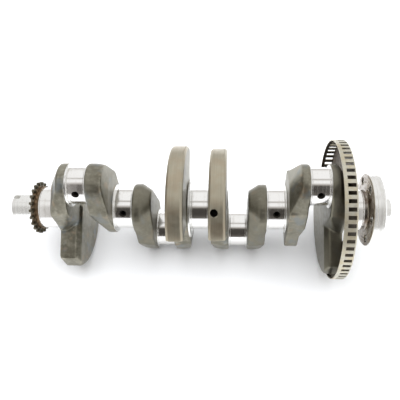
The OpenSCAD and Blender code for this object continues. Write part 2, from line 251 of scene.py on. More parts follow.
zincLook = {"zinc": (0.53, 0.51, 0.43), "gold": (0.50, 0.42, 0.26), "dull": (0.36, 0.34, 0.28),
            "inside": (0.085, 0.072, 0.055), "brown": (0.24, 0.16, 0.10), "wall": 79.9,
            "backX": alongShaft("trigger_wheel")[1], "metallic": 0.85, "filmSize": 14.0, "spotSize": 1.6,
            "patchSize": 7.0, "goldShare": 0.6, "dullShare": 0.45, "brownShare": 0.6,
            "rough": 0.36, "spotRough": 0.14, "insideRough": 0.12, "grainDepth": 0.03}


def zincFinish(s):
    # pale yellow plate outside; inside the cup, painted shade with brown patches
    f = Finish("zincPlate", s["metallic"])
    place = f.point()
    film = f.grain(place, s["filmSize"], 4.0, 0.6)
    spots = f.grain(place, s["spotSize"], 3.0, 0.6)
    tone = f.mix(f.step(film, 0.42, 0.66) * s["goldShare"], s["zinc"], s["gold"])
    tone = f.mix(f.step(spots, 0.52, 0.7) * s["dullShare"], tone, s["dull"])
    # painted shade: the inner surface of the cup, short of its back face, is made dark
    inner = 1.0 - f.step(f.radius(), s["wall"], s["wall"] + 0.3)
    inner = inner * (1.0 - f.step(f.axis(place, "X"), s["backX"] - 0.7, s["backX"] - 0.3))
    patches = f.step(f.grain(place, s["patchSize"], 5.0, 0.7), 0.45, 0.75)
    tone = f.mix(inner, tone, f.mix(patches * s["brownShare"], s["inside"], s["brown"]))
    f.put("Base Color", tone)
    f.put("Roughness", s["rough"] + f.step(spots, 0.4, 0.7) * s["spotRough"] + inner * s["insideRough"])
    f.bump(spots + film, s["grainDepth"])
    return f.material


sprocketLook = {"oxide": (0.20, 0.135, 0.08), "dark": (0.07, 0.068, 0.048), "rubbed": (0.42, 0.37, 0.29),
                "rootRadius": 25.4, "hubX": -190.0, "metallic": 0.9, "filmSize": 4.0, "grainSize": 0.7,
                "darkTeeth": 0.8, "brownHub": 0.8, "wornEdges": 0.45, "rough": 0.32, "filmRough": 0.16,
                "grainDepth": 0.03}


def sprocketFinish(s):
    # dark teeth, brown hub and rubbed edges
    f = Finish("hardenedSteel", s["metallic"])
    film = f.grain(f.point(), s["filmSize"], 4.0, 0.6)
    tone = f.mix(f.step(film, 0.4, 0.65), s["oxide"], s["dark"])
    teeth = f.step(f.radius(), s["rootRadius"] - 0.4, s["rootRadius"] + 2.2)
    hub = f.step(f.axis(f.point(), "X"), s["hubX"] - 0.2, s["hubX"] + 0.2) * (1.0 - teeth)
    tone = f.mix(teeth * s["darkTeeth"], tone, s["dark"])
    tone = f.mix(hub * f.step(film, 0.35, 0.6) * s["brownHub"], tone, s["oxide"])
    rubbed = f.step(f.stored("edge"), 0.35, 0.9) * f.step(film, 0.4, 0.7)
    tone = f.mix(rubbed * s["wornEdges"], tone, s["rubbed"])
    f.put("Base Color", tone)
    f.put("Roughness", s["rough"] + f.step(film, 0.4, 0.7) * s["filmRough"])
    f.bump(f.grain(f.point(), s["grainSize"], 2.0), s["grainDepth"])
    return f.material


# painted shade: the insides of drillings are made nearly black, over a thin oil film
oilAndShadeLook = {"black": (0.006, 0.005, 0.004), "film": (0.02, 0.017, 0.013), "filmSize": 1.5,
              "rough": 0.45, "filmRough": 0.3, "specular": 0.2, "filmDepth": 0.05}


def oilAndShadeFinish(s):
    # inside of drillings and threads, black with oil and with painted shade
    f = Finish("oilyBoreShade", 0.0)
    film = f.grain(f.point(), s["filmSize"], 3.0)
    f.put("Base Color", f.mix(film, s["black"], s["film"]))
    f.put("Roughness", s["rough"] + film * s["filmRough"])
    f.put("Specular IOR Level", s["specular"])
    f.bump(film, s["filmDepth"])
    return f.material


finishes = {"forged": forgedFinish(forgedLook), "ground": groundFinish(groundLook),
            "turned": turnedFinish(turnedLook, "turnedSteel"),
            "flange": turnedFinish(flangeLook, "flangeSteel"),
            "zinc": zincFinish(zincLook), "sprocket": sprocketFinish(sprocketLook),
            "oilAndShade": oilAndShadeFinish(oilAndShadeLook)}
print("finishes ready")


def newPiece(name, mesh, finish, nodes=(), second=None):
    # a visible piece that takes the place of CAD nodes, with a second finish for its holes
    mesh.materials.clear()
    mesh.materials.append(finishes[finish])
    if second:
        mesh.materials.append(finishes[second])
    piece = bpy.data.objects.new(name, mesh)
    bpy.context.scene.collection.objects.link(piece)
    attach(piece, "root")
    if nodes:
        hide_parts(*nodes)
    return piece


def filleted(corners, turns=5):
    # corners are (x, r, fillet): rounds each corner, with less than half of a side for any fillet
    outline = []
    count = len(corners)
    for i, (x, r, size) in enumerate(corners):
        here = Vector((x, r))
        if not size:
            outline.append(here)
            continue
        back = Vector(corners[i - 1][:2]) - here
        ahead = Vector(corners[(i + 1) % count][:2]) - here
        half = back.angle(ahead) / 2
        reach = min(size / math.tan(half), back.length * 0.49, ahead.length * 0.49)
        rounding = reach * math.tan(half)
        bisector = (back.normalized() + ahead.normalized()).normalized()
        centre = here + bisector * (rounding / math.sin(half))
        start = here + back.normalized() * reach - centre
        end = here + ahead.normalized() * reach - centre
        sweep = start.angle_signed(end)
        for k in range(turns + 1):
            outline.append(centre + Matrix.Rotation(-sweep * k / turns, 2) @ start)
    return [(p.x, p.y) for p in outline]


def turnedMesh(name, outline, segments=192, centreZ=0.0, closed=False):
    # outline of (x, r) in millimetres, turned about a line along X
    bm = bmesh.new()
    rings = []
    for x, r in outline:
        if r < 1e-6:
            rings.append([bm.verts.new((x * mm, 0, centreZ * mm))] * segments)
        else:
            angles = [2 * math.pi * k / segments for k in range(segments)]
            rings.append([bm.verts.new((x * mm, -r * math.sin(a) * mm, (centreZ + r * math.cos(a)) * mm))
                          for a in angles])
    pairs = list(zip(rings, rings[1:]))
    if closed:
        pairs.append((rings[-1], rings[0]))
    for first, second in pairs:
        for k in range(segments):
            n = (k + 1) % segments
            corners = [first[k], first[n], second[n], second[k]]
            corners = [v for j, v in enumerate(corners) if v is not corners[j - 1]]
            if len(corners) > 2:
                bm.faces.new(corners)
    bmesh.ops.recalc_face_normals(bm, faces=bm.faces)
    mesh = bpy.data.meshes.new(name)
    bm.to_mesh(mesh)
    bm.free()
    return mesh


def applyModifiers(piece):
    graph = bpy.context.evaluated_depsgraph_get()
    mesh = bpy.data.meshes.new_from_object(piece.evaluated_get(graph))
    piece.modifiers.clear()
    piece.data = mesh


def cutAway(mesh, cutters):
    # takes the cutters' joined shape out of the mesh
    piece = bpy.data.objects.new("blank", mesh)
    bm = bmesh.new()
    for cutter in cutters:
        bm.from_mesh(cutter)
    tool = bpy.data.objects.new("tool", bpy.data.meshes.new("tool"))
    bm.to_mesh(tool.data)
    bm.free()
    for thing in (piece, tool):
        bpy.context.scene.collection.objects.link(thing)
    cut = piece.modifiers.new("cut", "BOOLEAN")
    cut.operation = "DIFFERENCE"
    cut.solver = "EXACT"
    cut.object = tool
    applyModifiers(piece)
    mesh = piece.data
    for thing in (piece, tool):
        bpy.data.objects.remove(thing)
    return mesh


def shadeSharp(mesh, angle=28.0):
    mesh.polygons.foreach_set("use_smooth", [True] * len(mesh.polygons))
    mesh.set_sharp_from_angle(angle=math.radians(angle))


def trueRound(mesh, radius, centreZ=0.0, slack=0.02):
    # faces on a turned surface are lit as the true cylinder, even beside a drilled hole
    shadeSharp(mesh)
    normals = np.zeros(len(mesh.loops) * 3, np.float32)
    mesh.corner_normals.foreach_get("vector", normals)
    normals = normals.reshape(-1, 3)
    for face in mesh.polygons:
        if abs(face.normal.x) > 0.02:
            continue
        for corner in face.loop_indices:
            v = mesh.vertices[mesh.loops[corner].vertex_index].co / mm
            out = Vector((0, v.y, v.z - centreZ))
            if abs(out.length - radius) < slack and out.normalized().dot(face.normal) > 0.9:
                normals[corner] = out.normalized()
    mesh.normals_split_custom_set(normals.tolist())


def bore(place, direction, sizes, sides=48):
    # drill of (distance along the direction, radius) steps, as a mesh
    bm = bmesh.new()
    axis = Vector(direction).normalized()
    frameUp = Vector((1, 0, 0)) if abs(axis.x) < 0.9 else Vector((0, 0, 1))
    u = axis.cross(frameUp).normalized()
    w = axis.cross(u)
    rings = []
    for depth, r in sizes:
        centre = Vector(place) + axis * depth
        rings.append([bm.verts.new((centre + (u * math.cos(a) + w * math.sin(a)) * r) * mm)
                      for a in [2 * math.pi * k / sides for k in range(sides)]])
    for first, second in zip(rings, rings[1:]):
        for k in range(sides):
            n = (k + 1) % sides
            bm.faces.new((first[k], first[n], second[n], second[k]))
    bm.faces.new(rings[0][::-1])
    bm.faces.new(rings[-1])
    bmesh.ops.recalc_face_normals(bm, faces=bm.faces)
    mesh = bpy.data.meshes.new("bore")
    bm.to_mesh(mesh)
    bm.free()
    return mesh


def block(low, high, turn=0.0):
    # box between two corners in millimetres, turned about the shaft axis
    bm = bmesh.new()
    bmesh.ops.create_cube(bm, size=1.0)
    size = [b - a for a, b in zip(low, high)]
    centre = [(a + b) / 2 for a, b in zip(low, high)]
    for v in bm.verts:
        v.co = Vector([c + p * s for c, p, s in zip(centre, v.co, size)]) * mm
    bmesh.ops.rotate(bm, verts=bm.verts, cent=(0, 0, 0), matrix=Matrix.Rotation(math.radians(turn), 3, "X"))
    mesh = bpy.data.meshes.new("block")
    bm.to_mesh(mesh)
    bm.free()
    return mesh


def towards(angle):
    # direction around the shaft, from +Z towards the front (-Y)
    return Vector((0, -math.sin(math.radians(angle)), math.cos(math.radians(angle))))


def shadeOilyHoles(mesh, lines, flatness=0.6, deep=0.0):
    # second finish, of oil and painted shade, on the faces inside each drilled line of (place, direction,
    # radius)
    # steps and bottoms count as far as deep along the line
    for face in mesh.polygons:
        c = face.center / mm
        for place, direction, r in lines:
            off = c - Vector(place)
            along = off.dot(direction)
            if along < -0.1 or (off - direction * along).length > r:
                continue
            if along < deep or abs(face.normal.dot(direction)) < flatness:
                face.material_index = 1


def edgeLinks(mesh):
    ends = np.zeros(len(mesh.edges) * 2, np.int32)
    mesh.edges.foreach_get("vertices", ends)
    return ends.reshape(-1, 2)


def neighbourMean(co, ends):
    total = np.zeros_like(co)
    count = np.bincount(ends.ravel(), minlength=len(co))
    for k in range(3):
        total[:, k] = np.bincount(ends[:, 0], co[ends[:, 1], k], len(co))
        total[:, k] += np.bincount(ends[:, 1], co[ends[:, 0], k], len(co))
    return total / np.maximum(count, 1)[:, None]


def relaxed(co, ends, rounds, weight):
    for _ in range(rounds):
        co = co + (neighbourMean(co, ends) - co) * weight
    return co


def getCo(mesh):
    co = np.zeros(len(mesh.vertices) * 3, np.float32)
    mesh.vertices.foreach_get("co", co)
    return co.reshape(-1, 3).astype(float) / mm


def setCo(mesh, co):
    mesh.vertices.foreach_set("co", (co * mm).astype(np.float32).ravel())
    mesh.update()


def getNormals(mesh):
    normals = np.zeros(len(mesh.vertices) * 3, np.float32)
    mesh.vertices.foreach_get("normal", normals)
    return normals.reshape(-1, 3).astype(float)


def store(mesh, name, values):
    layer = mesh.attributes.new(name, "FLOAT", "POINT")
    layer.data.foreach_set("value", np.clip(values, -1, 1).astype(np.float32))


def markEdges(mesh, rounds, full):
    # "edge" is 1 along ridges and -1 in hollows
    co = getCo(mesh)
    ends = edgeLinks(mesh)
    soft = relaxed(co, ends, rounds, 0.5)
    height = np.sum((co - soft) * getNormals(mesh), 1) / full
    height = relaxed(height[:, None].repeat(3, 1), ends, 2, 0.5)[:, 0]
    store(mesh, "edge", height)


def webFaces(number):
    # x of the main journal face and of the crankpin face, and the pin's height
    low, high = boxMm(f"web_{number}")
    pin = alongShaft(f"crankpin_{(number + 1) // 2}")
    mainOnLeft = number % 2 == 1
    ends = (low[0], high[0]) if mainOnLeft else (high[0], low[0])
    return ends[0], ends[1], pin[3]


# forged webs, of which two have turned rims, and some whole webs darkened with painted shade
webSet = {"voxel": 0.85, "rounds": 9, "soften": 0.5, "keep": 0.12, "cloudSize": 16.0, "cloudDepth": 0.10,
          "dentSize": 3.0, "dentDepth": 0.02, "clear": 0.4, "rimDeep": 3.4, "rimBlend": 1.2, "rimSlack": 0.45,
          "pinMargin": 1.5, "edgeRounds": 12, "edgeFull": 0.30,
          "paintedShades": {2: 0.35, 3: 0.6, 6: 0.6, 7: 0.3, 8: 0.7}}
rimSet = {4: {"radius": 73.5}, 5: {"radius": 70.5}}


def forgedWeb(number, s):
    name = f"web_{number}"
    bm = bmesh.new()
    bm.from_mesh(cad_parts[name].data)
    bmesh.ops.remove_doubles(bm, verts=bm.verts, dist=1e-6)
    mesh = bpy.data.meshes.new(f"forging{number}")
    bm.to_mesh(mesh)
    bm.free()
    piece = newPiece(f"forging_{number}", mesh, "forged", [name], "oilAndShade")
    skin = piece.modifiers.new("skin", "REMESH")
    skin.mode = "VOXEL"
    skin.voxel_size = s["voxel"] * mm
    applyModifiers(piece)
    mesh = piece.data
    co = getCo(mesh)
    ends = edgeLinks(mesh)
    mainX, pinX, pinZ = webFaces(number)
    reach = np.hypot(co[:, 1], co[:, 2])
    turned = np.zeros(len(co))
    if number in rimSet:
        rim = rimSet[number]
        heavy = np.sign(co[:, 2]) != np.sign(pinZ)
        turned = np.clip((reach - rim["radius"] + s["rimDeep"]) / s["rimBlend"], 0, 1) * heavy
    weight = s["keep"] + (s["soften"] - s["keep"]) * (1 - turned)
    co = relaxed(co, ends, s["rounds"], weight[:, None])
    if number in rimSet:
        reach = np.hypot(co[:, 1], co[:, 2])
        flat = (abs(reach - rim["radius"]) < s["rimSlack"]) & (turned > 0.5)
        co[flat, 1:] *= (rim["radius"] / reach[flat])[:, None]
    # the polished rings stand in front of the forging
    side = math.copysign(1, pinX - mainX)
    fromMain = (co[:, 0] - mainX) * side
    co[:, 0] = np.where(fromMain < s["clear"], mainX + side * s["clear"], co[:, 0])
    fromPin = (pinX - co[:, 0]) * side
    nearPin = np.hypot(co[:, 1], co[:, 2] - pinZ) < shaft["pinCollar"] + s["pinMargin"]
    co[:, 0] = np.where((fromPin < s["clear"]) & nearPin, pinX - side * s["clear"], co[:, 0])
    setCo(mesh, co)
    normals = getNormals(mesh)
    rise = np.zeros(len(co))
    for i, p in enumerate(co):
        rise[i] = noise.noise(Vector(p) / s["cloudSize"]) * s["cloudDepth"]
        rise[i] += noise.noise(Vector(p) / s["dentSize"]) * s["dentDepth"]
    co = co + normals * (rise * (1 - turned))[:, None]
    setCo(mesh, co)
    markEdges(mesh, s["edgeRounds"], s["edgeFull"])
    store(mesh, "turned", turned)
    # painted shade: how far each whole web is darkened
    store(mesh, "shade", np.full(len(co), s["paintedShades"].get(number, 0.0)))
    mesh.polygons.foreach_set("use_smooth", [True] * len(mesh.polygons))
    return piece


balanceSet = {"web": 5, "angle": 37.0, "x": 18.8, "r": 4.0, "depth": 16.0, "chamfer": 0.5,
              "shadedOilDepth": 14.5, "shadedOilSlack": 0.05}

for number in range(1, shaft["webs"] + 1):
    piece = forgedWeb(number, webSet)
    if number == balanceSet["web"]:
        b = balanceSet
        out = towards(b["angle"])
        top = rimSet[number]["radius"]
        start = Vector((b["x"], 0, 0)) + out * (top - b["depth"])
        drill = bore(start, out, [(0, b["r"]), (b["depth"] - b["chamfer"], b["r"]),
                                  (b["depth"] + past, b["r"] + b["chamfer"] + past)])
        piece.data = cutAway(piece.data, [drill])
        shadeOilyHoles(piece.data, [(start, out, b["r"] + b["shadedOilSlack"])], 0.6, b["shadedOilDepth"])
print("webs forged")


# polished rings beside the journals
ringSet = {"depth": 1.9, "bevel": 0.35, "under": 1.0, "segments": 160}


def polishedRing(name, faceX, side, r, hole, centreZ, s):
    # side is the way from the journal into the web
    inner = hole - s["under"]
    corners = [(faceX, inner, 0), (faceX, r, s["bevel"]), (faceX + side * s["depth"], r, 0),
               (faceX + side * s["depth"], inner, 0)]
    mesh = turnedMesh(name, filleted(corners), s["segments"], centreZ, True)
    shadeSharp(mesh)
    return newPiece(name, mesh, "turned")


mainR = alongShaft("main_journal_3")[2]
pinR = alongShaft("crankpin_1")[2]
for number in range(1, shaft["webs"] + 1):
    mainX, pinX, pinZ = webFaces(number)
    side = math.copysign(1, pinX - mainX)
    wide = shaft["thrustCollar"] if number in shaft["thrustWebs"] else shaft["mainCollar"]
    polishedRing(f"main_ring_{number}", mainX, side, wide, mainR, 0.0, ringSet)
    polishedRing(f"pin_ring_{number}", pinX, -side, shaft["pinCollar"], pinR, pinZ, ringSet)
print("rings polished")


# journals and crankpins with their oil holes
journalSet = {"groove": 1.3, "grooveDepth": 0.35, "fillet": 0.3, "segments": 240, "holeR": 2.75, "mouthR": 3.7,
              "mouthDepth": 2.0, "mouthCone": 0.5, "edge": 0.45, "holeDepth": 15.0, "shadedOilDepth": 13.5,
              "shadedOilSlack": 0.05}
oilAngles = {"main_journal_2": 49.0, "main_journal_3": 229.0, "main_journal_4": 49.0, "crankpin_1": 65.0,
             "crankpin_2": 245.0, "crankpin_3": 245.0, "crankpin_4": 65.0}


def groundJournal(node, s):
    x0, x1, r, centreZ = alongShaft(node)
    low = r - s["grooveDepth"]
    g = s["groove"]
    slope = s["grooveDepth"]
    corners = [(x0, 0, 0), (x0, low, 0), (x0 + g, low, s["fillet"]), (x0 + g + slope, r, s["fillet"]),
               (x1 - g - slope, r, s["fillet"]), (x1 - g, low, s["fillet"]), (x1, low, 0), (x1, 0, 0)]
    mesh = turnedMesh(node, filleted(corners), s["segments"], centreZ)
    if node in oilAngles:
        out = towards(oilAngles[node])
        start = Vector(((x0 + x1) / 2, 0, centreZ)) + out * (r - s["holeDepth"])
        deep = s["holeDepth"]
        drill = bore(start, out, [(0, s["holeR"]), (deep - s["mouthDepth"] - s["mouthCone"], s["holeR"]),
                                  (deep - s["mouthDepth"], s["mouthR"]), (deep - s["edge"], s["mouthR"]),
                                  (deep + past, s["mouthR"] + s["edge"] + past)])
        mesh = cutAway(mesh, [drill])
    piece = newPiece(node.replace("_", "") + "Ground", mesh, "ground", [node], "oilAndShade")
    trueRound(mesh, r, centreZ)
    if node in oilAngles:
        shadeOilyHoles(mesh, [(start, out, s["mouthR"] + s["edge"] + s["shadedOilSlack"])], 0.85, s["shadedOilDepth"])
    return piece


for n in range(1, shaft["mains"] + 1):
    groundJournal(f"main_journal_{n}", journalSet)
for n in range(1, shaft["pins"] + 1):
    groundJournal(f"crankpin_{n}", journalSet)
print("journals ground")


# nose with its bolt hole
noseSet = {"r": 16.5, "seat": 18.0, "seatX": -194.5, "chamfer": 2.0, "boltR": 6.0, "boltDepth": 34.0,
           "mouth": 1.2, "point": 3.0, "pitch": 1.5, "threadFrom": 4.0, "threadTo": 30.0,
           "notchWide": 5.5, "notchLong": 9.5, "notchDeep": 3.0, "notchAngle": -14.0,
           "relief": 0.5, "reliefWide": 1.6, "segments": 220, "shadedOilSlack": 0.1}


def turnedNose(s):
    x0, x1 = alongShaft("crank_nose")[:2]
    r = s["r"]
    tip = [(x0, 0, 0), (x0, r - s["chamfer"], 0.5), (x0 + s["chamfer"], r, 0.5)]
    shoulder = [(s["seatX"] - s["reliefWide"], r, 0.2), (s["seatX"] - s["reliefWide"], r - s["relief"], 0.3),
                (s["seatX"], r - s["relief"], 0), (s["seatX"], s["seat"], 0.4),
                (x1, s["seat"], 0), (x1, 0, 0)]
    mesh = turnedMesh("nose", filleted(tip + shoulder), s["segments"])
    drill = bore((x0 + s["boltDepth"], 0, 0), (-1, 0, 0),
                 [(0, 0.5), (s["point"], s["boltR"]), (s["boltDepth"] - s["mouth"], s["boltR"]),
                  (s["boltDepth"] + past, s["boltR"] + s["mouth"] + past)])
    notch = block((x0 - past, -s["notchWide"] / 2, r - s["notchDeep"]),
                  (x0 + s["notchLong"], s["notchWide"] / 2, r + 2 * past), s["notchAngle"])
    key = boxMm("sprocket_key")
    slot = block(key[0], (key[1][0], key[1][1], key[1][2] + 2 * past))
    mesh = cutAway(mesh, [drill, notch, slot])
    newPiece("noseTurned", mesh, "turned", ["crank_nose"], "oilAndShade")
    trueRound(mesh, r)
    mouth = Vector((x0 + s["boltDepth"] + past, 0, 0))
    shadeOilyHoles(mesh, [(mouth, Vector((-1, 0, 0)), s["boltR"] + s["shadedOilSlack"])])
    threadSleeve("noseThread", x0 + s["threadFrom"], x0 + s["threadTo"], (0, 0), s["boltR"], s["pitch"])


# heights and places along the ridge are in pitches, as on a metric thread
threadSet = {"high": 0.54, "crest": (0.42, 0.58), "root": 0.05, "wall": 0.3, "segments": 48}


def threadSleeve(name, x0, x1, centre, r, pitch, s=threadSet):
    # internal thread: ridges inside a plain hole
    outline = []
    x = x0
    crestR = r - s["high"] * pitch
    while x < x1 - pitch:
        outline += [(x, r + s["root"])] + [(x + pitch * share, crestR) for share in s["crest"]]
        x += pitch
    outline += [(x, r + s["root"]), (x, r + s["wall"]), (x0, r + s["wall"])]
    mesh = turnedMesh(name, outline, s["segments"], 0.0, True)
    for v in mesh.vertices:
        v.co.y += centre[0] * mm
        v.co.z += centre[1] * mm
    shadeSharp(mesh)
    return newPiece(name, mesh, "turned")


turnedNose(noseSet)

# chain sprocket and its key
sprocketSet = {"teeth": 22, "pitch": 8.0, "rootGap": 2.55, "tip": 2.5, "tipRound": 0.35, "flare": 0.6,
               "gapSteps": 12, "toothWide": 4.5, "hubR": 24.8, "seat": 18.0, "chamfer": 0.45,
               "keyGap": 0.2, "sharp": 35.0, "edgeRounds": 2, "edgeFull": 0.4}


def toothOutline(s):
    # (angle, radius) of the teeth, all round
    pitchR = s["pitch"] / 2 / math.sin(math.pi / s["teeth"])
    tipR = pitchR + s["tip"]
    points = []
    for i in range(s["teeth"]):
        middle = 2 * math.pi * i / s["teeth"]
        shape = [(tipR - s["tipRound"], -s["rootGap"] - s["flare"] * 0.8)]
        shape += [(pitchR - s["rootGap"] * math.sin(a), -s["rootGap"] * math.cos(a))
                  for a in [math.pi * k / s["gapSteps"] for k in range(s["gapSteps"] + 1)]]
        shape += [(tipR - s["tipRound"], s["rootGap"] + s["flare"] * 0.8)]
        half = math.pi / s["teeth"]
        for out, across in shape:
            points.append((middle + math.atan2(across, out), math.hypot(out, across)))
        gap = math.atan2(s["rootGap"] + s["flare"] + s["tipRound"], tipR)
        for share in (0.0, 0.5, 1.0):
            points.append((middle + gap + (2 * half - 2 * gap) * share, tipR))
    return points


def chainSprocket(s):
    x0, x1 = alongShaft("chain_sprocket")[:2]
    outline = toothOutline(s)
    c = s["chamfer"]
    plateX = x0 + s["toothWide"]
    bm = bmesh.new()

    def ring(x, inset=0.0, flat=None):
        return [bm.verts.new((x * mm, -(flat or r - inset) * math.sin(a) * mm,
                              (flat or r - inset) * math.cos(a) * mm)) for a, r in outline]

    rings = [ring(x0 + c, flat=s["seat"]), ring(x0, flat=s["seat"] + c), ring(x0, c), ring(x0 + c),
             ring(plateX - c), ring(plateX, c), ring(plateX, flat=s["hubR"]),
             ring(x1 - c, flat=s["hubR"]), ring(x1, flat=s["hubR"] - c), ring(x1, flat=s["seat"] + c),
             ring(x1 - c, flat=s["seat"])]
    for first, second in zip(rings, rings[1:] + rings[:1]):
        for k in range(len(outline)):
            n = (k + 1) % len(outline)
            bm.faces.new((first[k], first[n], second[n], second[k]))
    bmesh.ops.recalc_face_normals(bm, faces=bm.faces)
    mesh = bpy.data.meshes.new("sprocket")
    bm.to_mesh(mesh)
    bm.free()
    key = boxMm("sprocket_key")
    keyway = block((x0 - past, key[0][1], key[0][2] - 3 * past),
                   (x1 + past, key[1][1], key[1][2] + s["keyGap"]))
    mesh = cutAway(mesh, [keyway])
    shadeSharp(mesh, s["sharp"])
    markEdges(mesh, s["edgeRounds"], s["edgeFull"])
    newPiece("sprocketTeeth", mesh, "sprocket", ["chain_sprocket"])


keySet = {"bevel": 0.4, "segments": 3}


def roundedKey(s):
    low, high = boxMm("sprocket_key")
    mesh = block(low, high)
    piece = newPiece("sprocketKey", mesh, "turned", ["sprocket_key"])
    soft = piece.modifiers.new("soft", "BEVEL")
    soft.width = s["bevel"] * mm
    soft.segments = s["segments"]
    applyModifiers(piece)
    shadeSharp(piece.data)


chainSprocket(sprocketSet)
roundedKey(keySet)
print("nose and sprocket made")


# trigger wheel with its screws
wheelSet = {"sheet": 1.5, "bend": 2.4, "bore": 38.0, "pitches": 60, "closed": 2, "closedAngle": 150.0,
            "windowWide": 8.6, "margin": 1.8, "share": 0.5, "screwAngles": (0, 120, 240),
            "screwCircle": 58.0, "screwR": 3.0, "segments": 360}


def triggerWheel(s):
    x0, x1, r = alongShaft("trigger_wheel")[:3]
    t = s["sheet"]
    corners = [(x1 - t, s["bore"], 0.3), (x1 - t, r - t, s["bend"] - t), (x0, r - t, 0.35), (x0, r, 0.35),
               (x1, r, s["bend"]), (x1, s["bore"], 0.3)]
    mesh = turnedMesh("wheel", filleted(corners), s["segments"], 0.0, True)
    pitch = 360 / s["pitches"]
    high = r * math.sin(math.radians(pitch * s["share"] / 2))
    right = x1 - s["margin"]
    cutters = [block((right - s["windowWide"], -high, r - 4 * past), (right, high, r + 2 * past),
                     s["closedAngle"] + (i + 0.5 + s["closed"] / 2) * pitch)
               for i in range(s["pitches"] - s["closed"])]
    for angle in s["screwAngles"]:
        place = towards(angle) * s["screwCircle"]
        cutters.append(bore((x1 - t - past, place.y, place.z), (1, 0, 0),
                            [(0, s["screwR"]), (t + 2 * past, s["screwR"])]))
    mesh = cutAway(mesh, cutters)
    newPiece("wheelCup", mesh, "zinc", ["trigger_wheel"])
    trueRound(mesh, r)


screwSet = {"headR": 5.5, "head": 2.4, "rim": 1.2, "slope": 1.5, "shankR": 3.0, "length": 13.5, "point": 0.8,
            "socketR": 2.3, "socketDeep": 1.4, "segments": 64}


def wheelScrews(s):
    wheelX = alongShaft("trigger_wheel")[1]
    low = wheelX - s["length"]
    corners = [(low, 0, 0), (low, s["shankR"] - s["point"], 0), (low + s["point"], s["shankR"], 0),
               (wheelX, s["shankR"], 0), (wheelX, s["headR"], 0.3), (wheelX + s["rim"], s["headR"], 0.6),
               (wheelX + s["head"], s["headR"] - s["slope"], 0.5), (wheelX + s["head"], 0, 0)]
    blank = turnedMesh("screw", filleted(corners), s["segments"])
    socket = bore((wheelX + s["head"] - s["socketDeep"], 0, 0), (1, 0, 0),
                  [(0, s["socketR"]), (s["socketDeep"] + past, s["socketR"])], 6)
    blank = cutAway(blank, [socket])
    bm = bmesh.new()
    for angle in wheelSet["screwAngles"]:
        copy = blank.copy()
        copy.transform(Matrix.Translation(towards(angle) * wheelSet["screwCircle"] * mm))
        bm.from_mesh(copy)
    mesh = bpy.data.meshes.new("screws")
    bm.to_mesh(mesh)
    bm.free()
    shadeSharp(mesh)
    newPiece("wheelScrews", mesh, "zinc", ["trigger_wheel_screws"])


triggerWheel(wheelSet)
wheelScrews(screwSet)
print("trigger wheel pressed")


# flywheel flange with its spigot and dowel
flangeSet = {"neckR": 23.0, "neck": 5.0, "thick": 14.0, "chamfer": 1.2, "spigotR": 14.0, "spigotChamfer": 2.0,
             "pilotR": 7.5, "pilotDepth": 20.0, "boltCircle": 34.0, "bolts": 6, "boltR": 4.5,
             "firstBolt": -7.0, "mouth": 0.8, "pitch": 1.5, "threadInset": (1.4, 1.2),
             "lines": (0.30, 0.74), "lineWide": 0.3, "lineDepth": 0.18, "segments": 280, "shadedOilSlack": 0.05}


def flywheelFlange(s):
    x0, end, r = alongShaft("flywheel_flange")[:3]
    front = x0 + s["neck"]
    back = front + s["thick"]
    c = s["chamfer"]
    corners = [(x0, 0, 0), (x0, s["neckR"], 0), (front, s["neckR"], 2.5), (front, r - c, 0.4),
               (front + c, r, 0.4)]
    for share in s["lines"]:  # fine rings that a seal has worn
        x = front + s["thick"] * share
        corners += [(x, r, 0), (x + s["lineWide"], r - s["lineDepth"], 0), (x + 2 * s["lineWide"], r, 0)]
    corners += [(back - c, r, 0.4), (back, r - c, 0.4), (back, s["spigotR"], 1.0),
                (end - s["spigotChamfer"], s["spigotR"], 0.6), (end, s["spigotR"] - s["spigotChamfer"], 0.6),
                (end, 0, 0)]
    mesh = turnedMesh("flange", filleted(corners), s["segments"])
    cutters = [bore((end - s["pilotDepth"], 0, 0), (1, 0, 0),
                    [(0, s["pilotR"]), (s["pilotDepth"] - past, s["pilotR"]),
                     (s["pilotDepth"] + past, s["pilotR"] + 2 * past)], 96)]
    places = []
    for k in range(s["bolts"]):
        p = towards(s["firstBolt"] + 360 * k / s["bolts"]) * s["boltCircle"]
        places.append(p)
        m = s["mouth"]
        cutters.append(bore((front, p.y, p.z), (1, 0, 0),
                            [(-past, s["boltR"] + m + past), (m, s["boltR"]), (s["thick"] - m, s["boltR"]),
                             (s["thick"] + past, s["boltR"] + m + past)]))
    low, high = boxMm("flywheel_dowel")
    dowelR = (high[1] - low[1]) / 2
    middle = [(a + b) / 2 for a, b in zip(low, high)]
    cutters.append(bore((low[0], middle[1], middle[2]), (1, 0, 0),
                        [(0, dowelR), (back - low[0] + past, dowelR)]))
    mesh = cutAway(mesh, cutters)
    newPiece("flangeTurned", mesh, "flange", ["flywheel_flange"], "oilAndShade")
    trueRound(mesh, r)
    along = Vector((1, 0, 0))
    shadeOilyHoles(mesh, [(Vector((front - past, p.y, p.z)), along, s["boltR"] + s["shadedOilSlack"]) for p in places])
    starts = front + s["threadInset"][0]
    ends = back - s["threadInset"][1]
    for k, p in enumerate(places):
        threadSleeve(f"boltThread_{k + 1}", starts, ends, (p.y, p.z), s["boltR"], s["pitch"])


dowelSet = {"tip": 1.0, "tipDeep": 0.8, "segments": 64}


def dowelPin(s):
    x0, x1, r, centreZ = alongShaft("flywheel_dowel")
    low, high = boxMm("flywheel_dowel")
    corners = [(x0, 0, 0), (x0, r, 0.5), (x1 - s["tip"], r, 0.4), (x1, r - s["tipDeep"], 0.3), (x1, 0, 0)]
    mesh = turnedMesh("dowel", filleted(corners), s["segments"], centreZ)
    mesh.transform(Matrix.Translation((0, (low[1] + high[1]) / 2 * mm, 0)))
    shadeSharp(mesh)
    newPiece("dowelPin", mesh, "turned", ["flywheel_dowel"])


